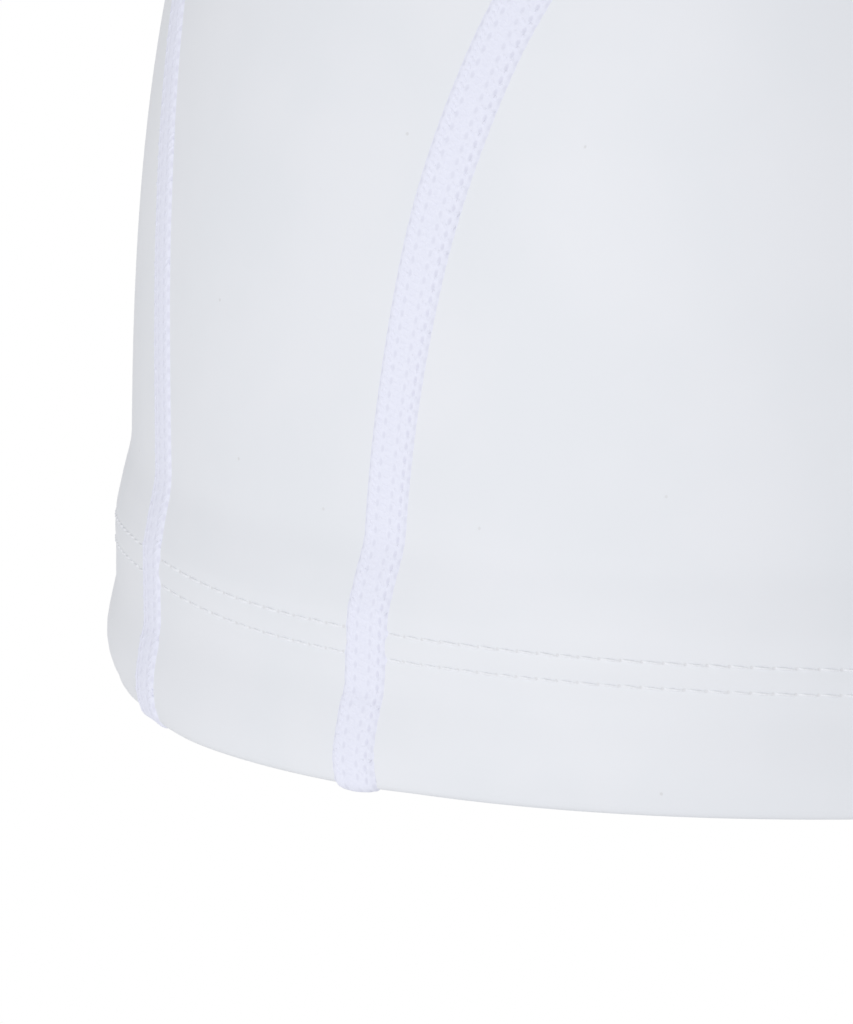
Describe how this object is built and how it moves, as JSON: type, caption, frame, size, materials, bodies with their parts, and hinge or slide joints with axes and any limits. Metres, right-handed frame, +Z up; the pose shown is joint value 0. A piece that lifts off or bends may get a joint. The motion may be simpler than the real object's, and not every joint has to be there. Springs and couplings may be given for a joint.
{
  "type": "swim cap",
  "caption": "Fabric swim cap in its worn form: a centre panel and two side panels joined by raised flatlock seams, with a turned-up hem all round.",
  "frame": {"origin": "inside of the crown, where the top of the head sits", "axes": "+Z up, the front of the cap faces -Y, the wearer's left is +X"},
  "size_m": [0.1748, 0.1968, 0.1607],
  "materials": {
    "coated_cloth": "smooth satin coating",
    "seam_thread": "soft matt textured thread"
  },
  "bodies": {
    "root": {"centre_panel": "coated_cloth", "side_panel_left": "coated_cloth", "side_panel_right": "coated_cloth", "seam_left": "seam_thread", "seam_right": "seam_thread"}
  },
  "joints": []
}
